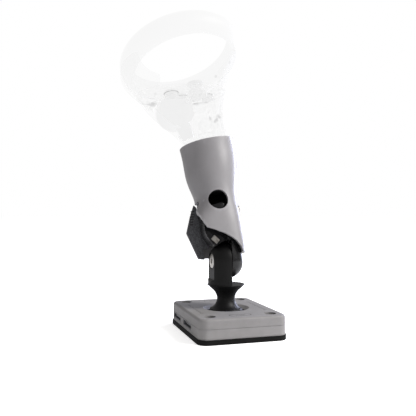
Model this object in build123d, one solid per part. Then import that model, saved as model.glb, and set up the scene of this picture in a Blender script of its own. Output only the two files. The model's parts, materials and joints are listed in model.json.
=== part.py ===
from build123d import *

import os
from math import copysign, cos, pi, radians, sin

# Virtual-reality joystick stand with its hand controller standing in the cup. Millimetres.
# Row frame: origin at the bottom centre of the rubber foot, +Z up, -X forward, +Y to the user's right.
# The wrist frame has its origin on the pivot bolt and leans LEAN degrees towards +Y.
# The grip frame is the wrist frame pitched PITCH degrees forward; its +Z runs along the cup.

# ---- driving dimensions ----
BASE_X = 66.5
BASE_Y = 86.0
BASE_CORNER = 7.0
WALL = 2.4
FOOT_LIP = 0.7
FOOT_FLOOR = 2.4
FOOT_TOP = 3.8
FLOOR_TOP = 4.0
SPLIT_Z = 11.05
COVER_TOP = 18.3
COVER_PLATE = 2.4
OPENING_R = 18.0
DISH_R = 14.6
GROOVE_HALF = 0.12
GROOVE_DEPTH = 0.25
SCREW_INSET = 10.0
COUNTERBORE_R = 4.5
PORT_WIDTH = 22.5
PORT_LOW = 6.2
PORT_HIGH = 10.4
PORT_CENTRES_Y = (24.2, -7.2)

GIMBAL_Z = 10.5
DOME_R = 14.4
DOME_CAVITY_R = 12.9
DOME_BOTTOM = 9.0
CEILING_Z = 18.5
RING_OUTER = 17.0
RING_INNER = 15.0
RING_HALF_HEIGHT = 1.7
PIN_R = 1.25
RUNNING = 0.05

HINGE_Z = 54.7
LEAN = 11.0
PITCH = 6.0
EAR_R = 14.0
SPLIT_X = 0.4
FLAT_X = -11.9
DISC_Z = 36.6
DISC_R = 14.6
BOLT_R = 3.0
BOLT_HEAD_R = 5.65
NUT_FLAT_X = 10.6

SHELL = 2.3
HANDLE_WALL = 2.2
FACE_TOP = 138.8
FACE_THICKNESS = 2.4
SHELL_TOP = FACE_TOP - FACE_THICKNESS
STICK_XY = (-2.1, 0.0)
BUTTON_A_XY = (-23.4, 0.0)
BUTTON_B_XY = (-12.6, 10.6)
MENU_XY = (9.2, 8.9)
BUTTON_R = 5.2
MENU_R = 4.2
SLIDE_GAP = 0.3
TRIGGER_XZ = (-22.4, 123.2)
TRIGGER_R = 14.2
TRIGGER_PIVOT_XZ = (-13.0, 128.4)
TRIGGER_HALF_WIDTH = 8.1
TRACK_CENTRE = (-10.3, 0.0, 165.7)
TRACK_PITCH = 4.2
TRACK_ROLL = 14.0
TRACK_LOW = (44.5, -7.0)
TRACK_BULGE = (50.8, 2.5)
TRACK_HIGH = (45.2, 12.0)
TRACK_WALL = 3.0

SECTION_POINTS = 20

WRIST = Pos(0, 0, HINGE_Z) * Rot(-LEAN, 0, 0)
TO_GRIP = Rot(0, -PITCH, 0)
GRIP = WRIST * TO_GRIP
SCREW_X = BASE_X / 2 - SCREW_INSET
SCREW_Y = BASE_Y / 2 - SCREW_INSET
SCREW_PLACES = [(x, y) for x in (-SCREW_X, SCREW_X) for y in (-SCREW_Y, SCREW_Y)]
SIDES = (-1, 1)


# ---- shared shapes ----
def plate(size_x, size_y, corner, low, high):
    """A rounded rectangle extruded from z = low to z = high."""
    return Pos(0, 0, low) * extrude(RectangleRounded(size_x, size_y, corner), high - low)


def block(x0, x1, y0, y1, z0, z1):
    """A plain box between two corners."""
    centre = Pos((x0 + x1) / 2, (y0 + y1) / 2, (z0 + z1) / 2)
    return centre * Box(x1 - x0, y1 - y0, z1 - z0)


def rod_z(x, y, radius, z0, z1):
    return Pos(x, y, (z0 + z1) / 2) * Cylinder(radius, z1 - z0)


def rod_x(y, z, radius, x0, x1):
    return Pos((x0 + x1) / 2, y, z) * Rot(0, 90, 0) * Cylinder(radius, x1 - x0)


def rod_y(x, z, radius, y0, y1):
    return Pos(x, (y0 + y1) / 2, z) * Rot(90, 0, 0) * Cylinder(radius, y1 - y0)


def section(height, centre_x, half_x, half_y, power):
    """A superellipse outline at one height, as a face on a periodic spline."""
    points = []
    for index in range(SECTION_POINTS):
        angle = 2 * pi * index / SECTION_POINTS
        c = cos(angle)
        s = sin(angle)
        x = centre_x + half_x * copysign(abs(c) ** (2 / power), c)
        y = half_y * copysign(abs(s) ** (2 / power), s)
        points.append((x, y, height))
    return Face(Wire(Edge.make_spline([Vector(*p) for p in points], periodic=True)))


def skin(rows, inset=0.0):
    """A smooth solid through (height, centre_x, half_x, half_y, power) rows."""
    return loft([section(h, xc, a - inset, b - inset, n) for h, xc, a, b, n in rows])


def prism_y(points, y0, y1):
    """A polygon of (x, z) points extruded from y0 to y1."""
    outline = Polyline(*[(x, y0, z) for x, z in points], close=True)
    face = make_face(outline)
    return extrude(face, amount=y1 - y0, dir=(0, 1, 0))


def joined(shapes):
    """Separate solids kept together in one node."""
    return Compound([solid for shape in shapes for solid in shape.solids()])


# ---- base ----
def foot_mat():
    body = plate(BASE_X + 2 * FOOT_LIP, BASE_Y + 2 * FOOT_LIP, BASE_CORNER + FOOT_LIP, 0, FOOT_TOP)
    body = fillet(body.edges().group_by(Axis.Z)[0], 0.6)
    return body - plate(BASE_X, BASE_Y, BASE_CORNER, FOOT_FLOOR, FOOT_TOP + 1)


def port_openings(grow, x0, x1):
    cuts = []
    for y in PORT_CENTRES_Y:
        half = PORT_WIDTH / 2 + grow
        cuts.append(block(x0, x1, y - half, y + half, PORT_LOW - grow, PORT_HIGH + grow))
    return cuts


def split_groove():
    """Shallow groove around the joint between the two halves of the base."""
    groove = plate(BASE_X + 1, BASE_Y + 1, BASE_CORNER, SPLIT_Z - GROOVE_HALF, SPLIT_Z + GROOVE_HALF)
    inner_x = BASE_X - 2 * GROOVE_DEPTH
    inner_y = BASE_Y - 2 * GROOVE_DEPTH
    return groove - plate(inner_x, inner_y, BASE_CORNER - GROOVE_DEPTH, SPLIT_Z - 1, SPLIT_Z + 1)


def lower_case():
    body = plate(BASE_X, BASE_Y, BASE_CORNER, FOOT_FLOOR, SPLIT_Z)
    body -= plate(BASE_X - 2 * WALL, BASE_Y - 2 * WALL, BASE_CORNER - WALL, FLOOR_TOP, SPLIT_Z + 1)
    for x, y in SCREW_PLACES:
        body += rod_z(x, y, 3.6, FLOOR_TOP - 0.5, SPLIT_Z)
        body -= rod_z(x, y, 1.5, 5.5, SPLIT_Z + 1)
    for cut in port_openings(0, -BASE_X / 2 - 1, -BASE_X / 2 + WALL + 1):
        body -= cut
    return body - split_groove()


def edge_ticks():
    """Two rows of short engraved ticks that mark the left and right edges of the cover."""
    cuts = []
    for x in (-25.2, 25.2):
        for index in range(17):
            y = (index - 8) * 2.4
            half = 1.5 if index % 4 == 0 else 0.9
            cuts.append(block(x - half, x + half, y - 0.35, y + 0.35, COVER_TOP - 0.35, COVER_TOP + 1))
    return cuts


def end_marks():
    """A plain rounded outline engraved at the middle of the near and far edges."""
    cuts = []
    for y in (-32.5, 32.5):
        outline = RectangleRounded(17, 6, 2.9) - RectangleRounded(15.8, 4.8, 2.3)
        bar = RectangleRounded(7, 0.9, 0.4)
        cuts.append(Pos(0, y, COVER_TOP - 0.35) * extrude(outline, 1))
        cuts.append(Pos(0, y, COVER_TOP - 0.35) * extrude(bar, 1))
    return cuts


def upper_cover():
    body = plate(BASE_X, BASE_Y, BASE_CORNER, SPLIT_Z, COVER_TOP)
    body = fillet(body.edges().group_by(Axis.Z)[-1], 2.0)
    inside = plate(BASE_X - 2 * WALL, BASE_Y - 2 * WALL, BASE_CORNER - WALL, SPLIT_Z - 1,
                   COVER_TOP - COVER_PLATE)
    body -= inside
    for x, y in SCREW_PLACES:
        body += rod_z(x, y, 5.6, SPLIT_Z, COVER_TOP - COVER_PLATE + 0.2)
        body -= rod_z(x, y, 1.7, SPLIT_Z - 1, COVER_TOP + 1)
        body -= rod_z(x, y, COUNTERBORE_R, COVER_TOP - COVER_PLATE, COVER_TOP + 1)
    slope = (OPENING_R - DISH_R) / COVER_PLATE
    dish = Cone(DISH_R - slope, OPENING_R + slope, COVER_PLATE + 2)
    body -= Pos(0, 0, COVER_TOP - COVER_PLATE / 2) * dish
    rim = body.edges().filter_by(GeomType.CIRCLE).filter_by(
        lambda edge: abs(edge.radius - OPENING_R) < 0.01).group_by(Axis.Z)[-1]
    body = fillet(rim, 0.9)
    body -= split_groove()
    for cut in edge_ticks() + end_marks():
        body -= cut
    return body


def cover_screws():
    seat = COVER_TOP - COVER_PLATE
    screws = []
    for x, y in SCREW_PLACES:
        head = rod_z(x, y, 3.4, seat, seat + 1.3)
        head = fillet(head.edges().group_by(Axis.Z)[-1], 0.4)
        screw = head + rod_z(x, y, 1.5, 5.5, seat)
        for angle in (0, 90):
            screw -= Pos(x, y, seat + 1.1) * Rot(0, 0, angle + 30) * Box(4.0, 0.9, 1.2)
        screws.append(screw)
    return joined(screws)


def ballast_weights():
    bars = [block(-17, 17, side * 32 - 8, side * 32 + 8, FLOOR_TOP, 13) for side in SIDES]
    bars.append(block(21.8, 30.4, -27, 27, FLOOR_TOP, 13))
    return joined(bars)


def main_board():
    board = block(-30.6, -21.6, -27, 28.6, 5.0, PORT_LOW)
    for y in (-22, 0, 20):
        board += rod_z(-24.5, y, 2.0, FLOOR_TOP, 5.2)
    board += block(-27, -22.6, 7, 11.4, PORT_LOW - 0.1, 7.3)
    return board


def port_sockets():
    sockets = []
    outside = -BASE_X / 2 + 0.4
    for y in PORT_CENTRES_Y:
        half = PORT_WIDTH / 2
        shell = block(outside, -27.2, y - half, y + half, PORT_LOW, PORT_HIGH)
        shell -= block(outside - 1, -28.0, y - half + 0.5, y + half - 0.5, PORT_LOW + 0.5, PORT_HIGH - 0.5)
        shell += block(-31.8, -27.6, y - half + 2.2, y + half - 2.2, 8.0, 8.7)
        sockets.append(shell)
    return joined(sockets)


def bearing_posts():
    posts = []
    for side in SIDES:
        post = block(min(side * 17.7, side * 20.7), max(side * 17.7, side * 20.7), -4.5, 4.5, FLOOR_TOP, 13.4)
        post = chamfer(post.edges().filter_by(Axis.X).group_by(Axis.Z)[-1], 2.0)
        post -= rod_x(0, GIMBAL_Z, PIN_R + RUNNING, -25, 25)
        posts.append(post)
    return joined(posts)


def sensor_board():
    return block(-5, 5, -5, 5, FLOOR_TOP, 5.0)


def centering_spring():
    """Open coil spring between the floor and the inside of the stem's dome."""
    path = Helix(pitch=2.1, height=9.6, radius=8.2)
    start = path @ 0
    profile = Plane(origin=start, z_dir=path % 0) * Circle(0.45)
    return Pos(0, 0, FLOOR_TOP + 0.5) * sweep(profile, path=path)


# ---- gimbal ring ----
def gimbal_ring():
    ring = rod_z(0, 0, RING_OUTER, GIMBAL_Z - RING_HALF_HEIGHT, GIMBAL_Z + RING_HALF_HEIGHT)
    ring -= rod_z(0, 0, RING_INNER, 0, 20)
    ring -= rod_x(0, GIMBAL_Z, PIN_R, -25, 25)
    return ring - rod_y(0, GIMBAL_Z, PIN_R, -25, 25)


def roll_pins():
    return joined([rod_x(0, GIMBAL_Z, PIN_R, min(side * 15.1, side * 20.5), max(side * 15.1, side * 20.5))
                   for side in SIDES])


def pitch_pins():
    return joined([rod_y(0, GIMBAL_Z, PIN_R, min(side * 11.2, side * 16.9), max(side * 11.2, side * 16.9))
                   for side in SIDES])


# ---- stem ----
def stem_profile():
    """Half outline of the dome, the waist and the flared disc, in the XZ plane."""
    dome_low = (DOME_R ** 2 - (GIMBAL_Z - DOME_BOTTOM) ** 2) ** 0.5
    dome_top = (12.4, GIMBAL_Z + (DOME_R ** 2 - 12.4 ** 2) ** 0.5)
    side = (DOME_R * cos(radians(15)), GIMBAL_Z + DOME_R * sin(radians(15)))
    edges = [
        Line((0, DOME_BOTTOM), (dome_low, DOME_BOTTOM)),
        ThreePointArc((dome_low, DOME_BOTTOM), side, dome_top),
        Spline(dome_top, (8.5, 20.9), (7.0, 25.4), (8.1, 29.6), (11.4, 33.4)),
        Line((11.4, 33.4), (DISC_R - 0.2, DISC_Z - 0.5)),
        ThreePointArc((DISC_R - 0.2, DISC_Z - 0.5), (DISC_R, DISC_Z - 0.15), (DISC_R - 0.4, DISC_Z)),
        Line((DISC_R - 0.4, DISC_Z), (0, DISC_Z)),
        Line((0, DISC_Z), (0, DOME_BOTTOM)),
    ]
    return make_face(Plane.XZ * Wire([edge.edge() if hasattr(edge, "edge") else edge for edge in edges]))


def stem_yoke():
    body = revolve(stem_profile(), Axis.Z)
    cavity = Pos(0, 0, GIMBAL_Z) * Sphere(DOME_CAVITY_R)
    body -= cavity & block(-20, 20, -20, 20, -5, CEILING_Z)
    for side in SIDES:
        boss = rod_y(0, GIMBAL_Z, 2.6, min(side * 10.5, side * 13.6), max(side * 10.5, side * 13.6))
        body += boss
    body -= rod_y(0, GIMBAL_Z, PIN_R + RUNNING, -20, 20)
    body += rod_z(0, 0, 3.0, 7.9, CEILING_Z + 0.5)
    column = rod_z(0, 0, EAR_R, DISC_Z - 0.5, HINGE_Z) + Pos(0, 0, HINGE_Z) * Sphere(EAR_R)
    column &= block(-20, SPLIT_X, -20, 20, DISC_Z - 0.5, 80)
    flat = prism_y([(FLAT_X, 41.0), (FLAT_X, 80), (-30, 80), (-30, 33.4), (-15.5, 37.8)], -20, 20)
    column -= flat
    body += column
    body -= rod_x(0, HINGE_Z, BOLT_R, -20, 20)
    return body - rod_x(0, HINGE_Z, BOLT_HEAD_R + 0.45, -20, FLAT_X + 1.6)


def sensor_magnet():
    return rod_z(0, 0, 2.5, 6.3, 7.9)


def pivot_bolt():
    head = rod_x(0, HINGE_Z, BOLT_HEAD_R, FLAT_X + 0.1, FLAT_X + 1.6)
    head = fillet(head.edges().group_by(Axis.X)[0], 0.5)
    socket = Pos(FLAT_X - 0.9, 0, HINGE_Z) * Rot(0, 90, 0) * extrude(RegularPolygon(2.4, 6), 2.2)
    bolt = head + rod_x(0, HINGE_Z, BOLT_R, FLAT_X + 1.6, NUT_FLAT_X - 0.4)
    return bolt - socket


def pivot_nut():
    nut = Pos(NUT_FLAT_X - 3.1, 0, HINGE_Z) * Rot(0, 90, 0) * extrude(RegularPolygon(5.0, 6), 2.8)
    return nut - rod_x(0, HINGE_Z, BOLT_R, 0, 20)


def friction_washer():
    disc = rod_x(0, HINGE_Z, 8.0, SPLIT_X, SPLIT_X + 0.5)
    return disc - rod_x(0, HINGE_Z, BOLT_R, -1, 3)


# ---- wrist and cup, in the grip frame unless a name says otherwise ----
HOOD_ROWS = [
    (-6, -2.8, 16.2, 17.6, 3.0),
    (0, -3.2, 16.8, 17.8, 3.2),
    (14, -4.7, 19.3, 18.0, 3.4),
    (28, -6.1, 20.9, 18.0, 3.2),
    (38, -3.4, 18.6, 17.6, 2.7),
    (46, -0.9, 16.5, 17.2, 2.2),
    (52, -0.6, 17.1, 17.1, 2.0),
    (64, -1.0, 19.8, 18.2, 2.0),
    (76, -0.5, 21.3, 19.4, 2.0),
    (88, -0.5, 21.8, 20.0, 2.0),
    (104, -0.3, 21.7, 20.2, 2.0),
]
RIM_FRONT = 92.6
RIM_BACK = 96.2
RIM_REACH = 23.0
SPLIT_Y = 12.5
NEAR_EDGE = [(-20.6, 44.0), (-19.7, 40.6), (-19.5, 36.3), (-18.6, 32.6), (-17.3, 29.1), (-15.6, 25.7),
             (-9.9, 23.2), (-2.8, 19.5), (1.7, 16.4), (5.4, 13.2), (8.4, 8.8), (10.1, 4.5), (14.0, 3.6)]
FAR_EDGE = [(-13.0, 47.6), (-13.0, 5.0), (16.0, 1.9)]
GUARD_EDGE = [(-15.1, 48.2), (-19.4, 39.4), (-22.8, 30.6), (-24.4, 26.5), (-17.9, 5.1), (-13.2, 4.0),
              (-13.2, 46.0)]
GUARD_Y = 12.6
GUARD_THICKNESS = 2.6
GUARD_CREASE_Z = 28.5
GUARD_STEP = 0.5
LINER_LOW = 43.6
LINER_FLOOR = 53.2
LINER_SEAT = 55.7
LINER_HIGH = 89.0
SLEEVE_SCREW_PLACES = [(-8.0, 38.0), (8.0, 38.0)]
SLEEVE_SCREW_SEAT = 13.2
HOLE_XZ = (-3.5, 46.1)
HOLE_R = 7.6
KNUCKLE_BACK = 10.4
EAR_FACE = SPLIT_X + 0.6
COLUMN_FACE = -0.6
COLUMN_TOP = 38.0


def cup_sleeve():
    body = skin(HOOD_ROWS) - skin([(HOOD_ROWS[0][0] - 2, *HOOD_ROWS[0][1:])] + HOOD_ROWS[1:-1]
                                  + [(HOOD_ROWS[-1][0] + 2, *HOOD_ROWS[-1][1:])], SHELL)
    far = 60
    rim = [(-far, RIM_FRONT - (far - RIM_REACH) * (RIM_BACK - RIM_FRONT) / (2 * RIM_REACH)),
           (far, RIM_BACK + (far - RIM_REACH) * (RIM_BACK - RIM_FRONT) / (2 * RIM_REACH)),
           (far, 140), (-far, 140)]
    body -= prism_y(rim, -far, far)
    near = [(-far, NEAR_EDGE[0][1])] + NEAR_EDGE + [(far, 3.0), (far, -20), (-far, -20)]
    body -= prism_y(near, -far, SPLIT_Y)
    away = [(-far, FAR_EDGE[0][1])] + FAR_EDGE + [(far, 1.0), (far, -20), (-far, -20)]
    body -= prism_y(away, SPLIT_Y - 0.01, far)
    body -= block(-far, FAR_EDGE[0][0], -6, far, 0, FAR_EDGE[0][1])
    body -= rod_y(*HOLE_XZ, HOLE_R, -30, 0)
    for y, z in SLEEVE_SCREW_PLACES:
        body -= rod_x(y, z, 1.5, 5, 30)
        body -= rod_x(y, z, 3.0, SLEEVE_SCREW_SEAT, 30)
    return TO_GRIP * body


def side_guard():
    """Flat faceted plate that closes the far side in front of the sleeve's cheek, with a fixing tab."""
    body = prism_y(GUARD_EDGE, GUARD_Y, GUARD_Y + GUARD_THICKNESS)
    body -= block(-40, 0, GUARD_Y - 1, GUARD_Y + GUARD_STEP, GUARD_CREASE_Z, 60)
    for index in range(6):
        z = 32.4 + 2.1 * index
        middle = -19.3 + 0.45 * index
        body -= block(middle - 1.5, middle + 1.5, GUARD_Y, GUARD_Y + GUARD_STEP + 0.3, z, z + 0.9)
    tab = block(-14.5, -8.0, GUARD_Y + 0.6, GUARD_Y + 2.2, 12.0, 36.0)
    return TO_GRIP * (body + (tab & skin(HOOD_ROWS, SHELL + 0.1)))


def cup_liner():
    """Soft cup that holds the controller's handle, with a thin skirt below its floor."""
    body = skin(HOOD_ROWS, SHELL + 0.1) & block(-30, 30, -30, 30, LINER_LOW, LINER_HIGH)
    body -= skin(HANDLE_ROWS, -0.3)
    body -= extrude(section(LINER_SEAT, -0.7, 12.9, 10.9, 2.3), amount=0.6, dir=(0, 0, 1))
    body -= skin(HOOD_ROWS, SHELL + 1.3) & block(-30, 30, -30, 30, LINER_LOW - 1, LINER_FLOOR)
    return TO_GRIP * (body - rod_y(*HOLE_XZ, HOLE_R, -30, 0))


def sleeve_screws():
    seat = SLEEVE_SCREW_SEAT
    screws = []
    for y, z in SLEEVE_SCREW_PLACES:
        screw = rod_x(y, z, 2.8, seat, seat + 1.2) + rod_x(y, z, 1.5, 5, seat)
        screws.append(TO_GRIP * (screw - rod_x(y, z, 1.2, seat + 0.5, 18)))
    return joined(screws)


def ball_column():
    """Upright cylinder with a half ball below it, as one turned solid."""
    radius = EAR_R - 0.2
    edges = [
        Line((0, COLUMN_TOP), (radius, COLUMN_TOP)),
        Line((radius, COLUMN_TOP), (radius, 0)),
        ThreePointArc((radius, 0), (radius * cos(pi / 4), -radius * sin(pi / 4)), (0, -radius)),
        Line((0, -radius), (0, COLUMN_TOP)),
    ]
    return revolve(make_face(Plane.XZ * Wire([edge.edge() for edge in edges])), Axis.Z)


def knuckle():
    """Upper hinge half: half ball beside the stem, disc between the cheeks, plug in the cup's waist."""
    disc = rod_y(3.0, 26.0, 19.0, -9.4, 3.0) & block(-20, KNUCKLE_BACK, -10, 10, 4, 50)
    column = ball_column() & block(COLUMN_FACE, KNUCKLE_BACK, -20, 20, -20, 50)
    plug = Pos(-1.6, 0, 34) * extrude(Ellipse(13.9, 14.2), 9)
    body = TO_GRIP * (column + disc + plug)
    body -= rod_y(0, 0, EAR_R + 0.6, -20, 20) & block(-20, EAR_FACE, -20, 20, -20, 20)
    body -= block(NUT_FLAT_X, 20, -20, 20, -20, 8)
    body -= rod_x(0, 0, BOLT_R + RUNNING, -1, 20)
    body -= rod_x(0, 0, 5.6, NUT_FLAT_X - 3.2, 30)
    for y, z in SLEEVE_SCREW_PLACES:
        body -= TO_GRIP * rod_x(y, z, 1.5, 5, 30)
    return body - TO_GRIP * clamp_pocket(0.25)


CLAMP_CENTRE = (-8.6, 16.6)
CLAMP_ANGLE = 49.0


def clamp_pocket(grow):
    place = Pos(CLAMP_CENTRE[0], -9.4, CLAMP_CENTRE[1]) * Rot(0, CLAMP_ANGLE, 0)
    return place * Box(6.2 + 2 * grow, 9.0 + 2 * grow, 4.4 + 2 * grow)


def clamp_nut():
    place = Pos(CLAMP_CENTRE[0], -9.4, CLAMP_CENTRE[1]) * Rot(0, CLAMP_ANGLE, 0)
    nut = place * Pos(0, 2.35, 0) * Box(6.2, 4.3, 4.4)
    nut = chamfer(nut.edges(), 0.35)
    return TO_GRIP * (nut - place * Pos(1.2, 0, -0.4) * Rot(90, 0, 0) * Cylinder(1.2, 6))


# ---- controller, in the grip frame ----
HANDLE_ROWS = [
    (56.0, -0.7, 12.6, 10.6, 2.3),
    (58.5, -0.7, 14.2, 12.2, 2.3),
    (66.0, -0.7, 16.0, 13.5, 2.3),
    (78.0, -0.7, 17.2, 14.0, 2.3),
    (91.0, -0.9, 18.0, 14.4, 2.3),
    (98.0, -1.9, 19.0, 14.7, 2.3),
    (104.0, -4.2, 21.2, 15.1, 2.3),
    (111.0, -7.7, 24.4, 15.9, 2.3),
    (118.0, -11.0, 28.0, 17.3, 2.3),
    (127.0, -13.6, 32.3, 19.8, 2.3),
    (136.4, -15.0, 36.8, 22.4, 2.3),
]
FACE_ROW = (-15.0, 36.8, 22.4, 2.3)
TRACK = Pos(*TRACK_CENTRE) * Rot(-TRACK_ROLL, -TRACK_PITCH, 0)
SHELL_SCREW_XZ = [(11.6, 84.0), (13.0, 116.0), (-41.0, 129.0)]
HEAD_R = 2.3
BUTTON_BOARD_LOW = 132.6
BUTTON_BOARD_HIGH = 133.4
BUTTON_FLANGE_LOW = 135.4
STICK_PIVOT_Z = 134.0
STICK_DOME_R = 8.9
STICK_NECK_Z = 143.6
CAP_R = 6.7
CAP_LOW = 144.6
CAP_HIGH = 147.4
STICK_PIN_R = 0.8
GRIP_LOW = 97.4
GRIP_HIGH = 109.0
GRIP_CENTRE = (-20.4, -10.2)
GRIP_ANGLE = 51.5
GRIP_HALF_WIDTH = 6.2
GRIP_DEPTH = 18.0
GRIP_WALL = 1.8
PULLED_TRIGGER_XZ = (-20.9, 121.1)


def span(side, near, far):
    """The lower and upper limits of a stretch mirrored to one side."""
    return min(side * near, side * far), max(side * near, side * far)


def wall_y(x, z):
    """Half thickness of the handle's outside at a point of its side view."""
    rows = HANDLE_ROWS
    for low, high in zip(rows, rows[1:]):
        if low[0] <= z <= high[0]:
            t = (z - low[0]) / (high[0] - low[0])
            xc, a, b, n = [p + t * (q - p) for p, q in zip(low[1:], high[1:])]
            return b * (1 - min(1, abs((x - xc) / a)) ** n) ** (1 / n)
    raise ValueError("outside the handle")


def screw_seat(x, z):
    """Where a shell screw's head sits, deep enough to stay under the curved surface."""
    return 1.4 - min(wall_y(x - HEAD_R, z), wall_y(x + HEAD_R, z))


def handle_shell(side):
    """One half of the hollow handle: side -1 is the left half, 1 the right."""
    rows = [(HANDLE_ROWS[0][0] + HANDLE_WALL, *HANDLE_ROWS[0][1:])] + HANDLE_ROWS[1:]
    rows.append((SHELL_TOP + 2, *FACE_ROW))
    keep = block(-80, 60, *span(side, 0, 40), 40, SHELL_TOP)
    body = (skin(HANDLE_ROWS) & keep) - skin(rows, HANDLE_WALL)
    inside = skin(HANDLE_ROWS, 0.6)
    px, pz = TRIGGER_PIVOT_XZ
    body += rod_y(px, pz, 3.0, *span(side, 9.0, 24)) & inside
    for x, z in SHELL_SCREW_XZ:
        body += rod_y(x, z, 2.7, *span(side, 0, 30)) & inside
    half_slot = TRIGGER_HALF_WIDTH + 0.6
    slot = prism_y([(-70, 128), (-70, 100), (-24, 100), (-19, 108.2), (-30, 128)], -half_slot, half_slot)
    body -= slot
    body -= rod_y(px, pz, PIN_R, -14, 14)
    for x, z in SHELL_SCREW_XZ:
        body -= rod_y(x, z, 1.2, -30, 9)
        if side < 0:
            body -= rod_y(x, z, HEAD_R + 0.1, -30, screw_seat(x, z))
    if side < 0:
        body -= grip_window(0)
    return body


def shell_screws():
    screws = []
    for x, z in SHELL_SCREW_XZ:
        seat = screw_seat(x, z)
        screw = rod_y(x, z, HEAD_R, seat - 1.1, seat) + rod_y(x, z, 1.2, seat, 8.5)
        screws.append(screw - rod_y(x, z, 0.9, seat - 2, seat - 0.4))
    return joined(screws)


def grip_window(shrink):
    """Straight-sided opening along the paddle's push direction."""
    place = Pos(*GRIP_CENTRE, (GRIP_LOW + GRIP_HIGH) / 2) * Rot(0, 0, GRIP_ANGLE) * Pos(GRIP_DEPTH / 4, 0, 0)
    return place * Box(GRIP_DEPTH, 2 * (GRIP_HALF_WIDTH - shrink), GRIP_HIGH - GRIP_LOW - 2 * shrink)


def face_plate():
    body = extrude(section(SHELL_TOP, *FACE_ROW), amount=FACE_THICKNESS, dir=(0, 0, 1))
    body = fillet(body.edges().group_by(Axis.Z)[-1], 1.0)
    body -= rod_z(*STICK_XY, STICK_DOME_R + 0.4, 100, 160)
    for x, y in (BUTTON_A_XY, BUTTON_B_XY):
        body -= rod_z(x, y, BUTTON_R + SLIDE_GAP, 100, 160)
    return body - rod_z(*MENU_XY, MENU_R + SLIDE_GAP, 100, 160)


def band_profile(inset):
    """Three points of the tracking band's section: lower edge, bulge and upper edge."""
    return [(radius - inset, height) for radius, height in (TRACK_LOW, TRACK_BULGE, TRACK_HIGH)]


def band(outer_inset, inner_inset):
    low, mid, high = band_profile(outer_inset)
    low_in, mid_in, high_in = band_profile(inner_inset)
    edges = [
        ThreePointArc(low, mid, high),
        Line(high, high_in),
        ThreePointArc(high_in, mid_in, low_in),
        Line(low_in, low),
    ]
    return revolve(make_face(Plane.XZ * Wire([edge.edge() for edge in edges])), Axis.Z)


def ring_outer():
    return TRACK * band(0.0, TRACK_WALL / 2)


def ring_inner():
    return TRACK * band(TRACK_WALL / 2, TRACK_WALL)


def ring_lights():
    """Infra-red lamps set into the inner face of the band."""
    lamps = []
    count = 15
    for index in range(count):
        radius, height = TRACK_BULGE
        inner = radius - TRACK_WALL
        lamp = Rot(0, 0, 360 * (index + 0.5) / count) * rod_x(0, height, 1.3, inner - 0.7, inner + 0.4)
        lamps.append(TRACK * lamp)
    return joined(lamps)


FAIRING_ROWS = [
    (136.4, -15.0, 36.8, 22.4, 2.3),
    (143.1, -14.0, 43.0, 30.0, 2.2),
    (148.3, -13.0, 47.0, 37.0, 2.1),
    (151.7, -12.3, 49.0, 42.0, 2.0),
    (157.6, -10.9, 50.8, 48.0, 2.0),
    (163.0, -10.3, 51.0, 50.0, 2.0),
]
FAIRING_WALL = 3.0


def inside_band():
    """Everything within the band's outside surface, in the tracking frame."""
    low, mid, high = band_profile(0.0)
    edges = [ThreePointArc(low, mid, high), Line(high, (0, high[1])), Line((0, high[1]), (0, low[1])),
             Line((0, low[1]), low)]
    return revolve(make_face(Plane.XZ * Wire([edge.edge() for edge in edges])), Axis.Z)


def front_bridge():
    """Fairing from the front edge of the face plate up to the bulge of the tracking band."""
    rows = FAIRING_ROWS
    below = [(rows[0][0] - 1, *rows[0][1:])] + rows[1:-1] + [(rows[-1][0] + 1, *rows[-1][1:])]
    body = skin(rows) - skin(below, FAIRING_WALL)
    body &= block(-90, -37, -25, 25, 130, 190)
    body -= extrude(section(SHELL_TOP - 1, *FACE_ROW), amount=FACE_THICKNESS + 1, dir=(0, 0, 1))
    body -= TRACK * inside_band()
    return body - TRACK * block(-90, 90, -90, 90, -1.0, 60)


def rear_skin(inset):
    edge, height = TRACK_LOW
    low = section(FACE_TOP, -15.0, 36.0 - inset, 21.6 - inset, 2.2)
    high = TRACK * section(height, 0, edge - inset, edge - inset, 2.0)
    return loft([low, high], ruled=True)


def rear_bridge():
    """The piece of a cone that carries the band from the rear of the face plate."""
    return (rear_skin(0) - rear_skin(2.2)) & block(12, 60, -20, 20, 130, 190)


def stick_module():
    x, y = STICK_XY
    body = block(x - 5.5, x + 5.5, y - 7.2, y + 7.2, 123.5, 130.6)
    for side in SIDES:
        body += block(x - 1.8, x + 1.8, *[y + v for v in span(side, 5.9, 7.0)], 130.6, STICK_PIVOT_Z + 1.3)
    return body - rod_y(x, STICK_PIVOT_Z, STICK_PIN_R + RUNNING, -10, 10)


def stick_yoke():
    x, y = STICK_XY
    ring = rod_z(x, y, 5.4, STICK_PIVOT_Z - 1.2, STICK_PIVOT_Z + 1.2)
    ring -= rod_z(x, y, 3.7, 120, 140)
    for side in SIDES:
        ring += rod_y(x, STICK_PIVOT_Z, STICK_PIN_R, *[y + v for v in span(side, 4.8, 6.9)])
    return ring - rod_x(y, STICK_PIVOT_Z, STICK_PIN_R + RUNNING, x - 10, x + 10)


def stick_dome():
    x, y = STICK_XY
    place = Pos(x, y, STICK_PIVOT_Z)
    dome = Sphere(STICK_DOME_R) - Sphere(STICK_DOME_R - 1.1)
    dome &= block(-10, 10, -10, 10, 1.0, 8.25)
    web = rod_z(0, 0, 6.4, 4.6, 5.4)
    hub = rod_z(0, 0, 3.2, -2.4, 2.6) + rod_z(0, 0, 1.4, 2.6, 8.0)
    pins = rod_x(0, 0, STICK_PIN_R, -5.1, 5.1)
    dome -= rod_z(0, 0, 2.9, 5.6, 10)
    return place * (dome + web + hub + pins)


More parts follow.
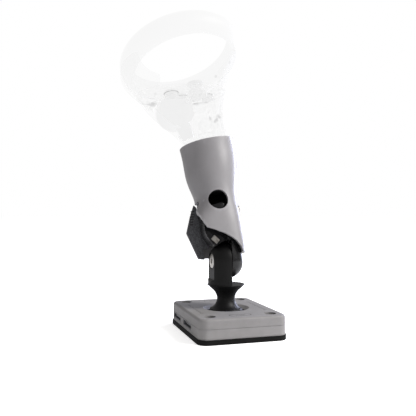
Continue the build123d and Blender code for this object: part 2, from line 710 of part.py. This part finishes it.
def stick_cap():
    x, y = STICK_XY
    tube = rod_z(x, y, 2.5, STICK_PIVOT_Z + 6.0, STICK_NECK_Z)
    neck = rod_z(x, y, 4.0, STICK_NECK_Z, CAP_LOW + 0.2)
    disc = rod_z(x, y, CAP_R, CAP_LOW, CAP_HIGH)
    disc = fillet(disc.edges(), 1.2)
    body = tube + neck + disc - Pos(x, y, CAP_HIGH + 17.4) * Sphere(18.0)
    return body - rod_z(x, y, 1.45, STICK_PIVOT_Z + 5, STICK_PIVOT_Z + 8.6)


def push_button(place, radius, height):
    x, y = place
    body = rod_z(x, y, radius, BUTTON_FLANGE_LOW, FACE_TOP + height)
    body = fillet(body.edges().group_by(Axis.Z)[-1], 0.8)
    return body + rod_z(x, y, radius + 0.8, BUTTON_FLANGE_LOW, BUTTON_FLANGE_LOW + 0.7)


def button_board():
    rows = section(BUTTON_BOARD_LOW, -15.0, 30.0, 16.0, 2.2)
    board = extrude(rows, amount=BUTTON_BOARD_HIGH - BUTTON_BOARD_LOW, dir=(0, 0, 1))
    return board - rod_z(*STICK_XY, STICK_DOME_R + 0.7, 100, 160)


def button_domes():
    return joined([rod_z(x, y, 2.4, BUTTON_BOARD_HIGH, BUTTON_BOARD_HIGH + 0.9)
                   for x, y in (BUTTON_A_XY, BUTTON_B_XY, MENU_XY)])


def trigger():
    cx, cz = TRIGGER_XZ
    px, pz = TRIGGER_PIVOT_XZ
    width = TRIGGER_HALF_WIDTH
    drum = rod_y(cx, cz, TRIGGER_R, -width, width)
    drum -= rod_y(cx, cz, TRIGGER_R - 2.2, -width + 1.8, width - 1.8)
    drum &= block(-60, -9.8, -20, 20, 100, 131.2)
    drum += rod_y(px, pz, 2.9, -width, width)
    return drum - rod_y(px, pz, PIN_R + RUNNING, -20, 20)


def trigger_pin():
    px, pz = TRIGGER_PIVOT_XZ
    return rod_y(px, pz, PIN_R, -13.6, 13.6)


def grip_button():
    """Curved paddle that fills the window on the handle's front-left corner."""
    rim = skin(HANDLE_ROWS) - skin(HANDLE_ROWS, GRIP_WALL)
    paddle = rim & grip_window(0.5) & block(-40, 0, -30, -3.0, 90, 120)
    for x, z in (TRIGGER_XZ, PULLED_TRIGGER_XZ, (PULLED_TRIGGER_XZ[0] - 1.6, PULLED_TRIGGER_XZ[1])):
        paddle -= rod_y(x, z, TRIGGER_R + 0.5, -10.6, 10)
    return paddle


def battery():
    cell = rod_z(1.0, 0, 7.2, 61.0, 103.0)
    return cell + rod_z(1.0, 0, 2.6, 103.0, 104.2)


def controller_board():
    board = block(8.2, 9.4, -8.5, 8.5, 106.0, 130.0)
    return board + block(6.8, 8.3, -4, 4, 116, 124)


def haptic_motor():
    return rod_y(1.4, 111.5, 4.8, -5.5, 5.5) + rod_y(1.4, 111.5, 1.0, 5.5, 7.5)


parts = {
    "foot_mat": foot_mat,
    "lower_case": lower_case,
    "upper_cover": upper_cover,
    "cover_screws": cover_screws,
    "ballast_weights": ballast_weights,
    "main_board": main_board,
    "port_sockets": port_sockets,
    "bearing_posts": bearing_posts,
    "sensor_board": sensor_board,
    "centering_spring": centering_spring,
    "gimbal_ring": gimbal_ring,
    "roll_pins": roll_pins,
    "pitch_pins": pitch_pins,
    "stem_yoke": stem_yoke,
    "sensor_magnet": sensor_magnet,
    "pivot_bolt": pivot_bolt,
    "pivot_nut": pivot_nut,
    "friction_washer": friction_washer,
    "knuckle": lambda: WRIST * knuckle(),
    "clamp_nut": lambda: WRIST * clamp_nut(),
    "cup_sleeve": lambda: WRIST * cup_sleeve(),
    "side_guard": lambda: WRIST * side_guard(),
    "cup_liner": lambda: WRIST * cup_liner(),
    "sleeve_screws": lambda: WRIST * sleeve_screws(),
    "handle_shell_left": lambda: GRIP * handle_shell(-1),
    "handle_shell_right": lambda: GRIP * handle_shell(1),
    "shell_screws": lambda: GRIP * shell_screws(),
    "face_plate": lambda: GRIP * face_plate(),
    "ring_outer": lambda: GRIP * ring_outer(),
    "ring_inner": lambda: GRIP * ring_inner(),
    "ring_lights": lambda: GRIP * ring_lights(),
    "front_bridge": lambda: GRIP * front_bridge(),
    "rear_bridge": lambda: GRIP * rear_bridge(),
    "stick_module": lambda: GRIP * stick_module(),
    "stick_yoke": lambda: GRIP * stick_yoke(),
    "stick_dome": lambda: GRIP * stick_dome(),
    "stick_cap": lambda: GRIP * stick_cap(),
    "button_a": lambda: GRIP * push_button(BUTTON_A_XY, BUTTON_R, 2.2),
    "button_b": lambda: GRIP * push_button(BUTTON_B_XY, BUTTON_R, 2.2),
    "menu_button": lambda: GRIP * push_button(MENU_XY, MENU_R, 0.6),
    "button_board": lambda: GRIP * button_board(),
    "button_domes": lambda: GRIP * button_domes(),
    "trigger": lambda: GRIP * trigger(),
    "trigger_pin": lambda: GRIP * trigger_pin(),
    "grip_button": lambda: GRIP * grip_button(),
    "battery": lambda: GRIP * battery(),
    "controller_board": lambda: GRIP * controller_board(),
    "haptic_motor": lambda: GRIP * haptic_motor(),
}

os.makedirs("parts", exist_ok=True)
for name, make in parts.items():
    export_step(make(), f"parts/{name}.step")
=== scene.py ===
import json
import math

import bmesh
import bpy
from mathutils import Matrix, Vector


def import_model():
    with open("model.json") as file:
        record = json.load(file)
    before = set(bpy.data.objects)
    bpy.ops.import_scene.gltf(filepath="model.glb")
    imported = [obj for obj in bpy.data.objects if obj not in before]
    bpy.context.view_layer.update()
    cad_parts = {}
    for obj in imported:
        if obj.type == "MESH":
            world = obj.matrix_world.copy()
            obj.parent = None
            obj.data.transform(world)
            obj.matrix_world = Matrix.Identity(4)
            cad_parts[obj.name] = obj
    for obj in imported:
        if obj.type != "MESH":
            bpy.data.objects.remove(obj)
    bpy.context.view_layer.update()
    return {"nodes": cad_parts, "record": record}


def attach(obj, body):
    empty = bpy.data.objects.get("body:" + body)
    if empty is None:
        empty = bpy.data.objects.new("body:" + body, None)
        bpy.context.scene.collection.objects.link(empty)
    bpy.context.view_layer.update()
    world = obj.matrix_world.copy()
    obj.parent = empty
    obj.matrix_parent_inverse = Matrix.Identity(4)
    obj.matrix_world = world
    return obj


# Looks of the joystick stand and its hand controller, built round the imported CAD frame. Metres.

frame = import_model()
NODES = frame["nodes"]
MM = 0.001

# looks
WHITE = (1, 1, 1, 1)
NOISE_ROUGH = 0.55
RAMP_START, RAMP_END = 0.35, 0.65  # where a blend of two colours begins and ends in the noise
MOTTLE_DETAIL, GRAIN_DETAIL = 4.0, 2.0
GLOSS_SPREAD = 0.08  # how far the roughness strays to either side
BUMP_HEIGHT = 0.0002  # how far a full bump stands out
COAT_ROUGH = 0.1
WEAR_START, WEAR_END = 0.53, 0.62  # pointiness where worn edges begin and where they are full
WORN = 1.6  # how much paler a worn edge is
THIN = 0.12  # opacity of the controller's inner pieces

# frames of the leaning bodies
BOLT_HEIGHT = 54.7  # the pivot bolt above the floor, millimetres
WRIST_LEAN, GRIP_LEAN = -11, -6  # degrees

# marks on the cover, millimetres
MARK_LOW, MARK_HIGH = 17.94, 18.27  # the ink's bottom and top
TICK_X = 25.2  # the two rows of ticks
TICK_COUNT, TICK_PITCH, LONG_EVERY = 17, 2.4, 4
LONG_TICK, SHORT_TICK, TICK_HALF = 1.45, 0.85, 0.31  # half lengths and half width
OUTLINE_Y = 32.5  # the outlines at the two ends
OUTLINE_OUTER, OUTLINE_INNER = (16.9, 5.9), (15.9, 4.9)
BAR_X, BAR_Y = 3.3, 0.4  # half sizes of the bar inside an outline
END_STEPS, ROUND_STEPS = 10, 48  # sides of a half-round end and of a full circle

# marks on the side guard, millimetres in the grip's frame
GUARD_COUNT, GUARD_PITCH, GUARD_BOTTOM = 6, 2.1, 32.4
GUARD_X, GUARD_SLANT = -19.3, 0.45
GUARD_NEAR, GUARD_FAR = 13.12, 13.42
GUARD_TICK_LOW, GUARD_TICK_HIGH = 0.05, 0.85

# rings of painted shade, millimetres
# painted shade: dark rings round the buttons stand in for the shadow in the gaps between buttons
# and face plate
GAP_SHADE_RINGS = (("shade_ring_a", -23.4, 0.0, 5.2), ("shade_ring_b", -12.6, 10.6, 5.2),
           ("shade_ring_menu", 9.2, 8.9, 4.2))  # name, place and button radius, in the grip's frame
SHADE_RING_LOW, SHADE_RING_HIGH = 138.78, 139.0
SHADE_RING_INNER, SHADE_RING_OUTER = 0.35, 0.9  # how far a shade ring's edges stand off its button
SCREW_X, SCREW_Y = 23.25, 33.0
RECESS_INNER, RECESS_OUTER = 3.55, 4.42
RECESS_LOW, RECESS_HIGH = 15.92, 16.1

# stage
FLOOR_HALF = 6.0
FLOOR_SPECK, FLOOR_DETAIL = 30, 3.0
FLOOR_DARK, FLOOR_PALE = (0.90, 0.90, 0.90), (0.92, 0.92, 0.92)
FLOOR_SPILL, FLOOR_SEEN = 0.15, 0.60  # the floor's own light, on the object and to the camera
SKY, BACKDROP = 0.45, 1.0  # the world's light, on the object and to the camera
CAMERA_PLACE, CAMERA_AIM = (-0.1394, -0.4166, 0.0957), (0.287, 0.958, 0.0)
SENSOR, LENS = 36.0, 48.72  # millimetres


# ---- material helpers ----
def new_material(name):
    """An empty material with its tree and its shader."""
    mat = bpy.data.materials.new(name)
    mat.use_nodes = True
    return mat, mat.node_tree, mat.node_tree.nodes["Principled BSDF"]


def add(tree, kind, **values):
    """A node with some of its inputs set."""
    node = tree.nodes.new(kind)
    for key, value in values.items():
        node.inputs[key.replace("_", " ")].default_value = value
    return node


def position(tree, stretch=(1, 1, 1)):
    """Object coordinates, stretched along an axis where the grain runs one way."""
    coords = tree.nodes.new("ShaderNodeTexCoord")
    mapping = tree.nodes.new("ShaderNodeMapping")
    mapping.inputs["Scale"].default_value = stretch
    tree.links.new(coords.outputs["Object"], mapping.inputs["Vector"])
    return mapping.outputs["Vector"]


def noise(tree, vector, scale, detail):
    node = add(tree, "ShaderNodeTexNoise", Scale=scale, Detail=detail, Roughness=NOISE_ROUGH)
    tree.links.new(vector, node.inputs["Vector"])
    return node.outputs["Fac"]


def ramp(tree, factor, low, high):
    """Blends from one colour to another as a factor rises."""
    node = tree.nodes.new("ShaderNodeValToRGB")
    node.color_ramp.elements[0].position = RAMP_START
    node.color_ramp.elements[1].position = RAMP_END
    node.color_ramp.elements[0].color = (*low, 1)
    node.color_ramp.elements[1].color = (*high, 1)
    tree.links.new(factor, node.inputs["Fac"])
    return node.outputs["Color"]


def shade(colour, by):
    return tuple(min(1.0, c * by) for c in colour)


def edge_wear(tree, colour, worn, amount):
    """Mixes a paler, worn colour in along convex edges."""
    geometry = tree.nodes.new("ShaderNodeNewGeometry")
    limits = tree.nodes.new("ShaderNodeMapRange")
    limits.inputs["From Min"].default_value = WEAR_START
    limits.inputs["From Max"].default_value = WEAR_END
    limits.inputs["To Max"].default_value = amount
    tree.links.new(geometry.outputs["Pointiness"], limits.inputs["Value"])
    mix = tree.nodes.new("ShaderNodeMix")
    mix.data_type = "RGBA"
    tree.links.new(limits.outputs["Result"], mix.inputs["Factor"])
    tree.links.new(colour, mix.inputs["A"])
    mix.inputs["B"].default_value = (*worn, 1)
    return mix.outputs["Result"]


def surface(name, colour, roughness, grain, depth, spread, patch=45, stretch=(1, 1, 1),
            metallic=0.0, specular=0.5, coat=0.0, glow=0.0, wear=0.0, alpha=1.0):
    """A moulded, cast or brushed surface: mottled colour, uneven gloss and a fine raised grain."""
    mat, tree, shader = new_material(name)
    vector = position(tree, stretch)
    mottle = noise(tree, vector, patch, MOTTLE_DETAIL)
    fine = noise(tree, vector, grain, GRAIN_DETAIL)
    tint = ramp(tree, mottle, shade(colour, 1 - spread), shade(colour, 1 + spread))
    if wear:
        tint = edge_wear(tree, tint, shade(colour, WORN), wear)
    tree.links.new(tint, shader.inputs["Base Color"])
    gloss = tree.nodes.new("ShaderNodeMapRange")
    gloss.inputs["To Min"].default_value = max(0.02, roughness - GLOSS_SPREAD)
    gloss.inputs["To Max"].default_value = min(1.0, roughness + GLOSS_SPREAD)
    tree.links.new(fine, gloss.inputs["Value"])
    tree.links.new(gloss.outputs["Result"], shader.inputs["Roughness"])
    bump = add(tree, "ShaderNodeBump", Strength=depth, Distance=BUMP_HEIGHT)
    tree.links.new(fine, bump.inputs["Height"])
    tree.links.new(bump.outputs["Normal"], shader.inputs["Normal"])
    shader.inputs["Metallic"].default_value = metallic
    shader.inputs["Specular IOR Level"].default_value = specular
    shader.inputs["Coat Weight"].default_value = coat
    shader.inputs["Coat Roughness"].default_value = COAT_ROUGH
    # painted glow: an emission that brightens a part which is no lamp
    if glow:
        shader.inputs["Emission Color"].default_value = WHITE
        shader.inputs["Emission Strength"].default_value = glow
    shader.inputs["Alpha"].default_value = alpha
    return mat


def ghost(name, tone, glow, alpha=1.0, grain=2200, depth=0.08):
    """Pale, nearly shadowless plastic with painted glow: an emission, not a lamp, gives most of
    its brightness.
    """
    return surface(name, (tone, tone, tone * 1.01), 0.5, grain, depth, 0.04,
                   glow=glow, alpha=alpha, specular=0.06)


MATERIALS = {
    "foot_rubber": surface("rubber_foot", (0.005, 0.005, 0.005), 0.7, 2600, 0.5, 0.25,
                           specular=0.12),
    "case_grey": surface("case_plastic", (0.215, 0.210, 0.212), 0.55, 3200, 0.22, 0.05,
                         specular=0.3, wear=0.25, patch=120),
    "screw_steel": surface("bolt_steel", (0.50, 0.48, 0.45), 0.30, 2400, 0.3, 0.12,
                           metallic=1.0, stretch=(1, 1, 6)),
    "ballast_iron": surface("ballast_iron", (0.12, 0.12, 0.12), 0.6, 1200, 0.5, 0.2, metallic=0.6),
    "board_green": surface("board_green", (0.01, 0.09, 0.05), 0.35, 1500, 0.2, 0.2, coat=0.4),
    "socket_steel": surface("socket_steel", (0.20, 0.205, 0.22), 0.45, 1500, 0.2, 0.1,
                            metallic=0.5),
    "inner_black": surface("inner_black", (0.02, 0.02, 0.02), 0.5, 1500, 0.2, 0.2),
    "spring_steel": surface("spring_steel", (0.45, 0.45, 0.46), 0.3, 3000, 0.2, 0.1, metallic=1.0),
    "magnet_nickel": surface("magnet_nickel", (0.6, 0.6, 0.58), 0.2, 1500, 0.1, 0.1, metallic=1.0),
    "stem_black": surface("stem_black", (0.005, 0.005, 0.0052), 0.46, 2600, 0.25, 0.2,
                          specular=0.16),
    "washer_brass": surface("washer_brass", (0.6, 0.42, 0.16), 0.35, 1500, 0.2, 0.1, metallic=1.0),
    "knuckle_black": surface("knuckle_black", (0.005, 0.005, 0.0055), 0.24, 1400, 0.06, 0.2,
                             specular=0.3),
    "sleeve_grey": surface("sleeve_grey", (0.205, 0.200, 0.208), 0.40, 2600, 0.12, 0.04,
                           specular=0.4, wear=0.35, patch=70),
    "guard_grey": surface("guard_grey", (0.085, 0.087, 0.094), 0.75, 1100, 0.9, 0.45,
                          specular=0.3, patch=1100),
    "liner_rubber": surface("liner_rubber", (0.006, 0.006, 0.006), 0.7, 900, 0.5, 0.35,
                            specular=0.15, patch=600),
    # painted glow: the controller's pale pieces give off light of their own, each set to its own
    # brightness
    "shell_white": ghost("ghost_shell", 0.015, 0.84, alpha=0.15),
    "ring_white": ghost("ghost_ring", 0.02, 0.91),
    "lamp_violet": ghost("ghost_lamp", 0.02, 0.80),
    "button_grey": ghost("ghost_button", 0.03, 0.76),
    "stick_rubber": ghost("ghost_stick", 0.03, 0.80, grain=1600, depth=0.35),
    "battery_wrap": ghost("ghost_cell", 0.02, 0.86, alpha=THIN),
}
# painted glow on the inner pieces and on the slightly darker trigger drum
GHOST_INNER = ghost("ghost_inner", 0.02, 0.86, alpha=THIN)
# painted shade: a dark, barely glowing plastic for the rings round the buttons
PAINTED_GAP_SHADE = ghost("ghost_gap_shade", 0.03, 0.12)
GHOST_DRUM = ghost("ghost_drum", 0.03, 0.83)
# dark ink for the printed marks, also used as painted shadow in the screw recesses
INK_AND_SHADE = surface("ink_and_painted_shade", (0.035, 0.033, 0.035), 0.6, 2400, 0.3, 0.2, specular=0.2)

SLOTS = {part["node"]: part["material_slot"] for part in frame["record"]["subparts"]}
INNER_NODES = ("shell_screws", "button_board", "controller_board", "haptic_motor",
               "button_domes", "stick_module", "stick_yoke", "trigger_pin")
GHOSTED = dict.fromkeys(INNER_NODES, GHOST_INNER)
GHOSTED.update(dict.fromkeys(("trigger", "grip_button"), GHOST_DRUM))
for node, obj in NODES.items():
    obj.data.materials.clear()
    obj.data.materials.append(GHOSTED.get(node, MATERIALS[SLOTS[node]]))


# ---- added pieces ----
WRIST = (Matrix.Translation((0, 0, BOLT_HEIGHT * MM))
         @ Matrix.Rotation(math.radians(WRIST_LEAN), 4, "X"))
GRIP = WRIST @ Matrix.Rotation(math.radians(GRIP_LEAN), 4, "Y")


def into_scene(name, data):
    """A new object in the scene that shows a mesh, a lamp or a camera."""
    obj = bpy.data.objects.new(name, data)
    bpy.context.scene.collection.objects.link(obj)
    return obj


def piece(name, bm, body, material, frame_matrix=Matrix.Identity(4)):
    """A mesh piece, drawn in millimetres in one of the frames, that rides on a body."""
    mesh = bpy.data.meshes.new(name)
    bmesh.ops.transform(bm, matrix=frame_matrix @ Matrix.Scale(MM, 4), verts=bm.verts)
    bmesh.ops.recalc_face_normals(bm, faces=bm.faces)
    bm.to_mesh(mesh)
    bm.free()
    mesh.materials.append(material)
    obj = into_scene(name, mesh)
    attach(obj, body)


def add_box(bm, x0, x1, y0, y1, z0, z1):
    """A closed box between two corners."""
    corners = ((x0, y0, z0), (x1, y0, z0), (x1, y1, z0), (x0, y1, z0),
               (x0, y0, z1), (x1, y0, z1), (x1, y1, z1), (x0, y1, z1))
    faces = ((0, 3, 2, 1), (4, 5, 6, 7), (0, 1, 5, 4), (1, 2, 6, 5), (2, 3, 7, 6), (3, 0, 4, 7))
    verts = [bm.verts.new(corner) for corner in corners]
    for face in faces:
        bm.faces.new([verts[i] for i in face])


def stadium(width, height):
    """Points round a bar with half-round ends."""
    radius = height / 2
    centre = width / 2 - radius
    points = []
    for side in (1, -1):
        for step in range(END_STEPS + 1):
            angle = math.radians(-90 + 180 * step / END_STEPS)
            x = centre + radius * math.cos(angle)
            points.append((side * x, side * radius * math.sin(angle)))
    return points


def add_band(bm, outer, inner, x, y, z0, z1):
    """A flat closed band between two outlines that have the same number of points."""
    rings = []
    for outline, z in ((outer, z0), (outer, z1), (inner, z1), (inner, z0)):
        rings.append([bm.verts.new((x + px, y + py, z)) for px, py in outline])
    count = len(outer)
    for a, b in zip(rings, rings[1:] + rings[:1]):
        for k in range(count):
            n = (k + 1) % count
            bm.faces.new((a[k], a[n], b[n], b[k]))


def circle(radius):
    """Points round a circle."""
    angles = [2 * math.pi * k / ROUND_STEPS for k in range(ROUND_STEPS)]
    return [(radius * math.cos(angle), radius * math.sin(angle)) for angle in angles]


def cover_marks():
    """Ink in the ticks along both edges of the cover and in the outlines at its two ends."""
    bm = bmesh.new()
    for x in (-TICK_X, TICK_X):
        for index in range(TICK_COUNT):
            y = (index - TICK_COUNT // 2) * TICK_PITCH
            half = LONG_TICK if index % LONG_EVERY == 0 else SHORT_TICK
            add_box(bm, x - half, x + half, y - TICK_HALF, y + TICK_HALF, MARK_LOW, MARK_HIGH)
    for y in (-OUTLINE_Y, OUTLINE_Y):
        add_band(bm, stadium(*OUTLINE_OUTER), stadium(*OUTLINE_INNER), 0, y, MARK_LOW, MARK_HIGH)
        add_box(bm, -BAR_X, BAR_X, y - BAR_Y, y + BAR_Y, MARK_LOW, MARK_HIGH)
    piece("cover_marks", bm, "base", INK_AND_SHADE)


def guard_marks():
    """Ink in the short ticks on the upper half of the side guard."""
    bm = bmesh.new()
    for index in range(GUARD_COUNT):
        z = GUARD_BOTTOM + GUARD_PITCH * index
        x = GUARD_X + GUARD_SLANT * index
        add_box(bm, x - LONG_TICK, x + LONG_TICK, GUARD_NEAR, GUARD_FAR,
                z + GUARD_TICK_LOW, z + GUARD_TICK_HIGH)
    piece("guard_marks", bm, "wrist", INK_AND_SHADE, GRIP)


def button_shade_ring(name, x, y, radius):
    """Painted shade: a thin dark ring on the face plate round a button, in place of the shadow in
    the gap.
    """
    bm = bmesh.new()
    add_band(bm, circle(radius + SHADE_RING_OUTER), circle(radius + SHADE_RING_INNER), x, y,
             SHADE_RING_LOW, SHADE_RING_HIGH)
    piece(name, bm, "controller", PAINTED_GAP_SHADE, GRIP)


def counterbore_shadows():
    """Dark shadow rings at the bottom of the screw recesses in the cover."""
    bm = bmesh.new()
    for x in (-SCREW_X, SCREW_X):
        for y in (-SCREW_Y, SCREW_Y):
            add_band(bm, circle(RECESS_OUTER), circle(RECESS_INNER), x, y, RECESS_LOW, RECESS_HIGH)
    piece("counterbore_shadows", bm, "base", INK_AND_SHADE)


cover_marks()
guard_marks()
counterbore_shadows()
for shade_ring in GAP_SHADE_RINGS:
    button_shade_ring(*shade_ring)


# ---- stage ----
def floor():
    """Pale floor that gives off some light of its own, less on the object than to the camera."""
    mesh = bpy.data.meshes.new("floor")
    half = FLOOR_HALF
    corners = [(-half, -half, 0), (half, -half, 0), (half, half, 0), (-half, half, 0)]
    mesh.from_pydata(corners, [], [(0, 1, 2, 3)])
    obj = into_scene("floor", mesh)
    mat, tree, shader = new_material("pale_floor")
    speck = noise(tree, position(tree), FLOOR_SPECK, FLOOR_DETAIL)
    tree.links.new(ramp(tree, speck, FLOOR_DARK, FLOOR_PALE), shader.inputs["Base Color"])
    shader.inputs["Roughness"].default_value = 0.9
    shader.inputs["Specular IOR Level"].default_value = 0.1
    shader.inputs["Emission Color"].default_value = WHITE
    path = tree.nodes.new("ShaderNodeLightPath")
    level = tree.nodes.new("ShaderNodeMapRange")
    level.inputs["To Min"].default_value = FLOOR_SPILL
    level.inputs["To Max"].default_value = FLOOR_SEEN
    tree.links.new(path.outputs["Is Camera Ray"], level.inputs["Value"])
    tree.links.new(level.outputs["Result"], shader.inputs["Emission Strength"])
    mesh.materials.append(mat)


def world():
    """White behind the object, with a dimmer sky for the light that falls on it."""
    scene_world = bpy.data.worlds.new("studio")
    scene_world.use_nodes = True
    tree = scene_world.node_tree
    seen = tree.nodes["Background"]
    seen.inputs["Color"].default_value = WHITE
    seen.inputs["Strength"].default_value = BACKDROP
    sky = tree.nodes.new("ShaderNodeBackground")
    sky.inputs["Color"].default_value = (1.0, 0.98, 0.97, 1)
    sky.inputs["Strength"].default_value = SKY
    path = tree.nodes.new("ShaderNodeLightPath")
    mix = tree.nodes.new("ShaderNodeMixShader")
    tree.links.new(path.outputs["Is Camera Ray"], mix.inputs[0])
    tree.links.new(sky.outputs[0], mix.inputs[1])
    tree.links.new(seen.outputs[0], mix.inputs[2])
    tree.links.new(mix.outputs[0], tree.nodes["World Output"].inputs["Surface"])
    bpy.context.scene.world = scene_world


def area_light(name, place, target, size, power, colour):
    """A soft lamp at one place, turned to a target."""
    data = bpy.data.lights.new(name, "AREA")
    data.shape = "RECTANGLE"
    data.size, data.size_y = size
    data.energy = power
    data.color = colour
    obj = into_scene(name, data)
    obj.location = place
    obj.rotation_euler = (Vector(target) - Vector(place)).to_track_quat("-Z", "Y").to_euler()


def camera():
    """A level view from the near left of the stand."""
    data = bpy.data.cameras.new("camera")
    data.sensor_width = SENSOR
    data.lens = LENS
    data.clip_start, data.clip_end = 0.01, 50
    obj = into_scene("camera", data)
    obj.location = CAMERA_PLACE
    obj.rotation_euler = Vector(CAMERA_AIM).to_track_quat("-Z", "Y").to_euler()
    bpy.context.scene.camera = obj


floor()
world()
area_light("key", place=(0.72, -0.52, 0.75), target=(0, 0, 0.08), size=(0.45, 0.45), power=16.0,
           colour=(1.0, 0.985, 0.97))
area_light("cool_rim", place=(0.70, 0.45, 0.25), target=(0, 0, 0.12), size=(0.3, 0.6), power=7.0,
           colour=(0.72, 0.76, 1.0))
camera()
bpy.context.scene.view_settings.view_transform = "Standard"
